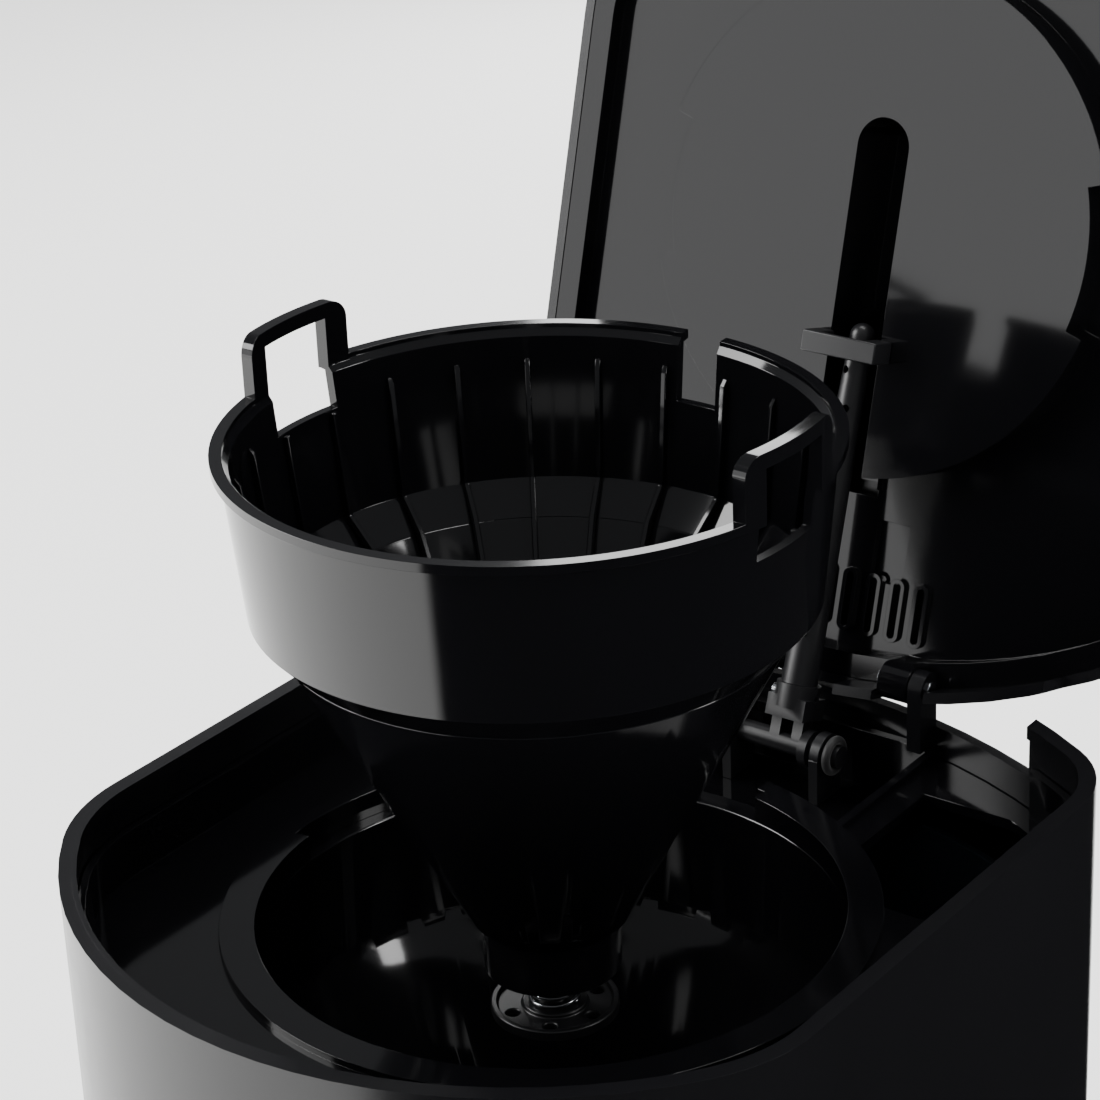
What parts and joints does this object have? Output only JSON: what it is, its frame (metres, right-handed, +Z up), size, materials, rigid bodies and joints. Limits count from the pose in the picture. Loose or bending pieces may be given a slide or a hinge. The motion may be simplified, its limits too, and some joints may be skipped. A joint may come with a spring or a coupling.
{
  "type": "drip coffee maker",
  "caption": "Black drip coffee maker: domed lid hinged at the back, spray arm that follows it, lift-out cone filter basket with drip valve, glass jug on a warming plate.",
  "frame": {"origin": "on the bench under the centre of the brew well, at the plane of the feet", "axes": "+Z up, -Y out of the front towards the user, +X to the machine's right as seen from the front"},
  "size_m": [0.177, 0.2712, 0.5267],
  "materials": {
    "black_shell": "fine satin black moulding",
    "gloss_black": "gloss black moulding",
    "inner_black": "dull black moulding",
    "dark_grey": "grey control panel",
    "smoke_tank": "smoke grey tank",
    "steel": "bright zinc plated or stainless steel",
    "alu": "cast aluminium",
    "plate_coat": "dark non-stick coating",
    "black_rubber": "matt black rubber",
    "silicone": "translucent silicone hose",
    "clear": "clear glass",
    "clear_plastic": "clear level window",
    "red_rocker": "red rocker",
    "amber": "amber lens",
    "ceramic_white": "terminal block and fuse sleeves"
  },
  "bodies": {
    "housing": {"bottom_cover": "inner_black", "rubber_feet": "black_rubber", "cover_screws": "steel", "base_housing": "black_shell", "control_panel": "dark_grey", "switch_module": "inner_black", "indicator_lens": "amber", "cord_inlet": "black_rubber", "warming_plate": "plate_coat", "plate_seal": "black_rubber", "heater_casting": "alu", "water_tube": "alu", "heating_element": "steel", "heater_strap": "steel", "thermostat": "steel", "thermal_fuses": "ceramic_white", "cold_hose": "silicone", "riser_hose": "silicone", "hose_clamps": "steel", "check_valve": "ceramic_white", "terminal_block": "ceramic_white", "column_housing": "black_shell", "level_window": "clear_plastic", "water_tank": "smoke_tank", "head_housing": "black_shell", "top_deck": "black_shell", "brew_well": "inner_black", "riser_elbow": "inner_black", "arm_saddles": "inner_black", "hinge_pins": "steel"},
    "lid": {"lid_outer": "black_shell", "lid_inner": "inner_black", "lid_strap": "inner_black", "lid_screws": "steel"},
    "spray": {"spray_arm": "inner_black", "arm_socket": "inner_black", "arm_pin": "steel", "arm_seals": "black_rubber"},
    "basket": {"filter_basket": "gloss_black", "basket_cone": "gloss_black", "basket_ribs": "gloss_black", "valve_spring": "steel"},
    "valve": {"drip_valve": "inner_black", "valve_washer": "black_rubber"},
    "jug": {"carafe_glass": "clear", "carafe_band": "steel", "carafe_handle": "black_shell", "handle_screw": "steel"},
    "jug_lid": {"carafe_lid": "black_shell"},
    "rocker": {"power_rocker": "red_rocker"},
    "ball": {"check_ball": "steel"}
  },
  "joints": [
    {"name": "lid_hinge", "type": "hinge", "parent": "housing", "child": "lid", "pos_m": [0, 0.1, 0.333], "axis": [1, 0, 0], "range_deg": [0, 106]},
    {"name": "arm_swing", "type": "hinge", "parent": "housing", "child": "spray", "pos_m": [0, 0.091, 0.315], "axis": [1, 0, 0], "range_deg": [0, 91.2]},
    {"name": "basket_lift", "type": "slide", "parent": "housing", "child": "basket", "axis": [0, 0, 1], "range_m": [-0.104, 0]},
    {"name": "valve_lift", "type": "slide", "parent": "basket", "child": "valve", "axis": [0, 0, 1], "range_m": [0, 0.004], "stiffness_N_per_m": 300, "springref_m": -0.003, "deforming": ["valve_spring"]},
    {"name": "jug_slide", "type": "slide", "parent": "housing", "child": "jug", "axis": [0, -1, 0], "range_m": [0, 0.22]},
    {"name": "jug_lid_turn", "type": "hinge", "parent": "jug", "child": "jug_lid", "pos_m": [0, 0, 0.17], "axis": [0, 0, 1], "range_deg": [0, 45]},
    {"name": "rocker_tilt", "type": "hinge", "parent": "housing", "child": "rocker", "pos_m": [-0.012, -0.092, 0.02], "axis": [1, 0, 0], "range_deg": [0, 14]},
    {"name": "ball_lift", "type": "slide", "parent": "housing", "child": "ball", "axis": [0, 0, 1], "range_m": [0, 0.004]}
  ],
  "couplings": [
    {"joint": "arm_swing", "follows": "lid_hinge", "ratio": 0.859},
    {"joint": "basket_lift", "follows": "lid_hinge", "m_per_rad": -0.0562}
  ]
}
